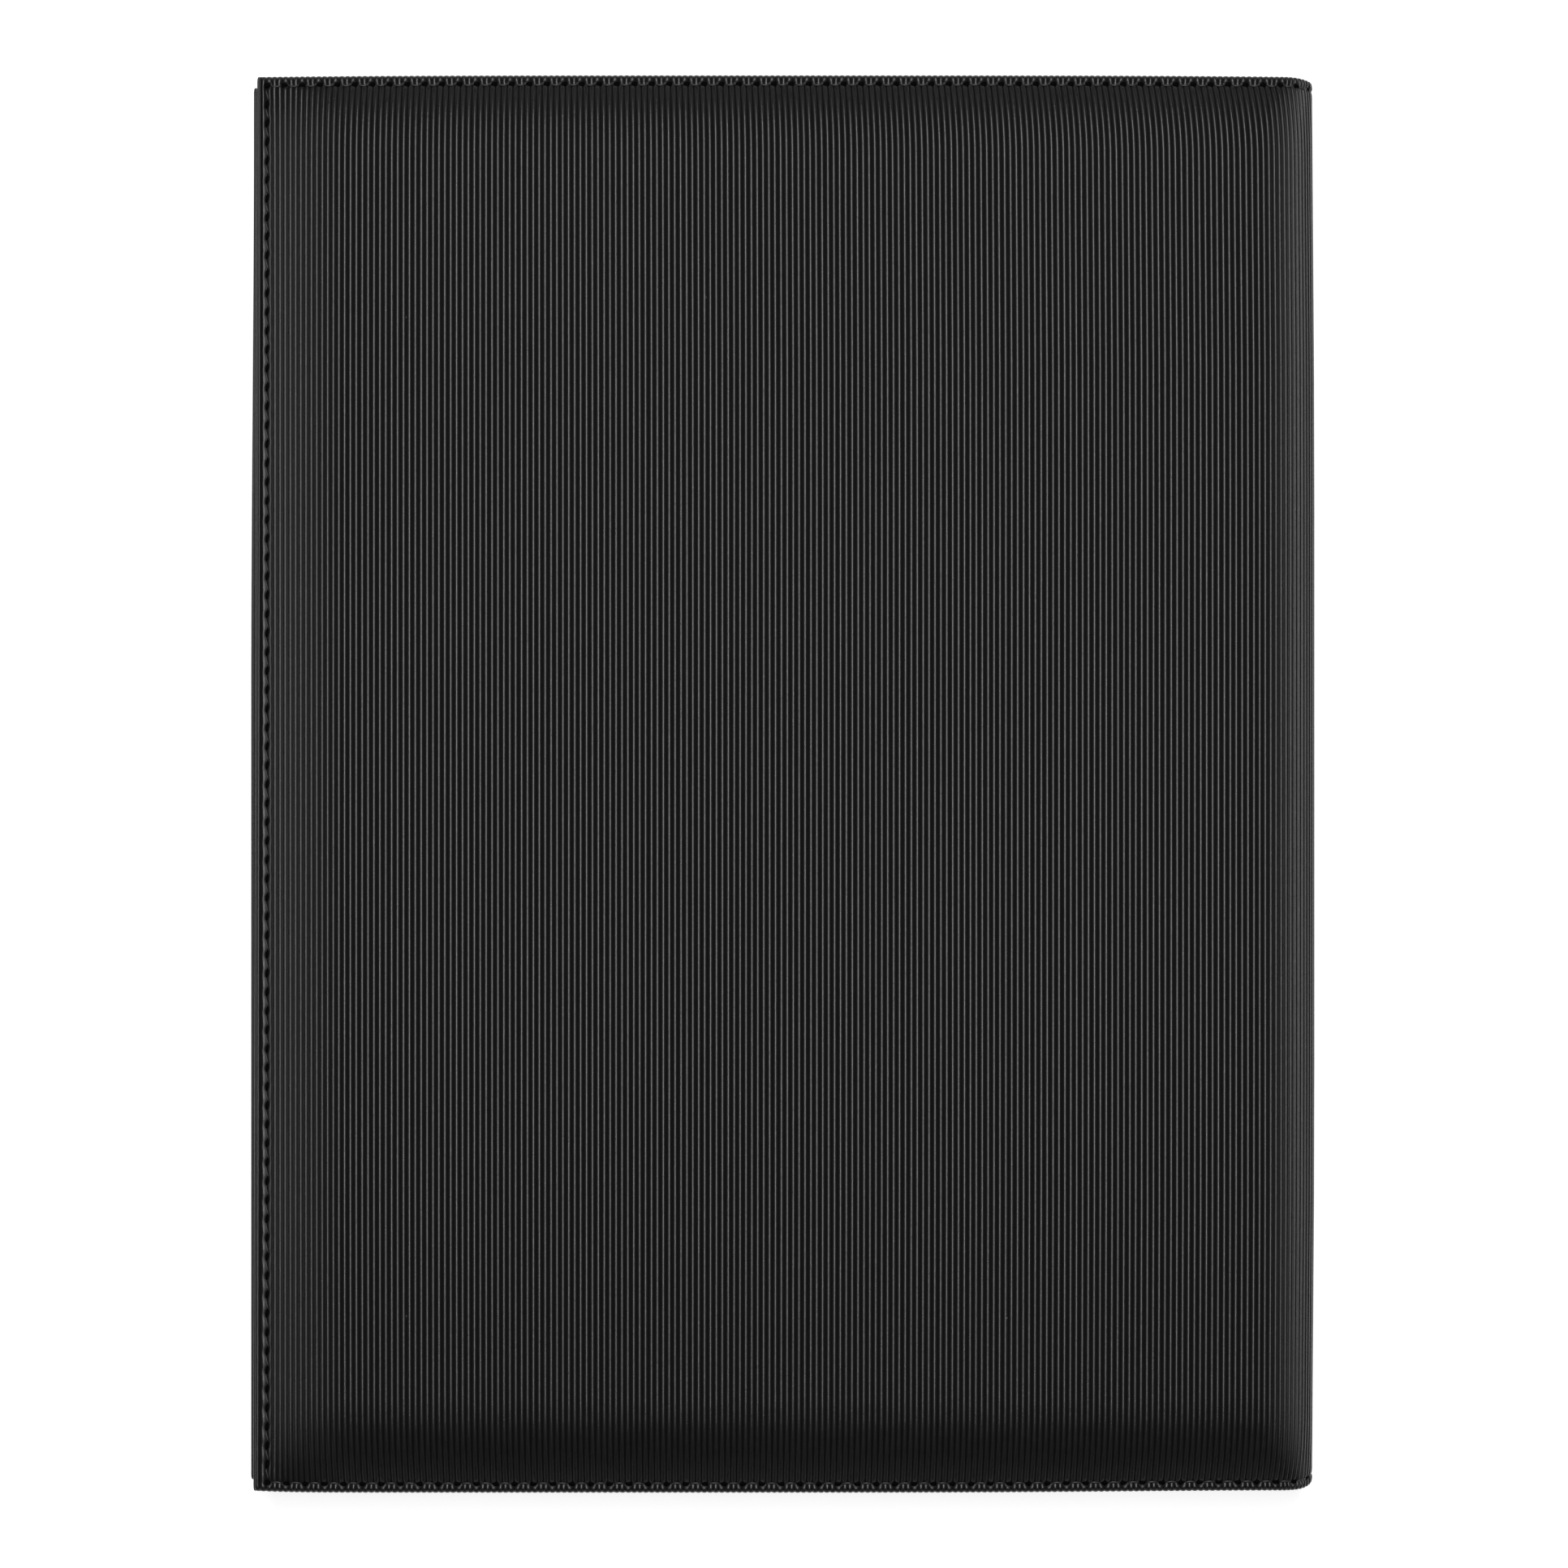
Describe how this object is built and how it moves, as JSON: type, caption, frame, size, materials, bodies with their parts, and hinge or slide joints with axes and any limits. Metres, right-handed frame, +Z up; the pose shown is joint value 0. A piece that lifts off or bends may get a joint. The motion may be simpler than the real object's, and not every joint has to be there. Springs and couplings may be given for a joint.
{
  "type": "document folder",
  "caption": "Padded black document folder with a ribbed, edge-sewn leatherette cover and soft rounded spine, closed, holding a writing pad, pockets and a pen loop.",
  "frame": {"origin": "under the middle of the closed folder, on the surface it lies on", "axes": "+Z up, out of the upper (back) cover; +Y along the spine towards the top of the pages; +X towards the spine"},
  "size_m": [0.2413, 0.3174, 0.024],
  "materials": {
    "skin": "black ribbed leatherette, satin crests",
    "padding": "soft foam wadding",
    "board": "grey board",
    "lining": "black fine-woven lining",
    "pocket": "black smooth leatherette",
    "elastic": "black woven elastic",
    "paper": "uncoated writing paper",
    "cardboard": "uncoated card",
    "tape": "dark cloth binding tape"
  },
  "bodies": {
    "front_cover": {"front_cover_skin": "skin", "front_cover_padding": "padding", "front_cover_board": "board", "front_cover_lining": "lining", "document_pocket": "pocket", "card_pocket_upper": "pocket", "card_pocket_lower": "pocket"},
    "spine": {"spine_skin": "skin", "spine_padding": "padding", "spine_lining": "lining", "pen_loop": "elastic"},
    "back_cover": {"back_cover_skin": "skin", "back_cover_padding": "padding", "back_cover_board": "board", "back_cover_lining": "lining", "pad_backing": "cardboard", "pad_sleeve": "pocket", "pad_pages": "paper", "pad_binding": "tape"}
  },
  "joints": [
    {"name": "spine_fold", "type": "hinge", "parent": "front_cover", "child": "spine", "pos_m": [0.11716, 0, 0.00522], "axis": [0, 1, 0], "range_deg": [0, 90]},
    {"name": "back_cover_fold", "type": "hinge", "parent": "spine", "child": "back_cover", "pos_m": [0.11716, 0, 0.01877], "axis": [0, 1, 0], "range_deg": [0, 90]}
  ]
}
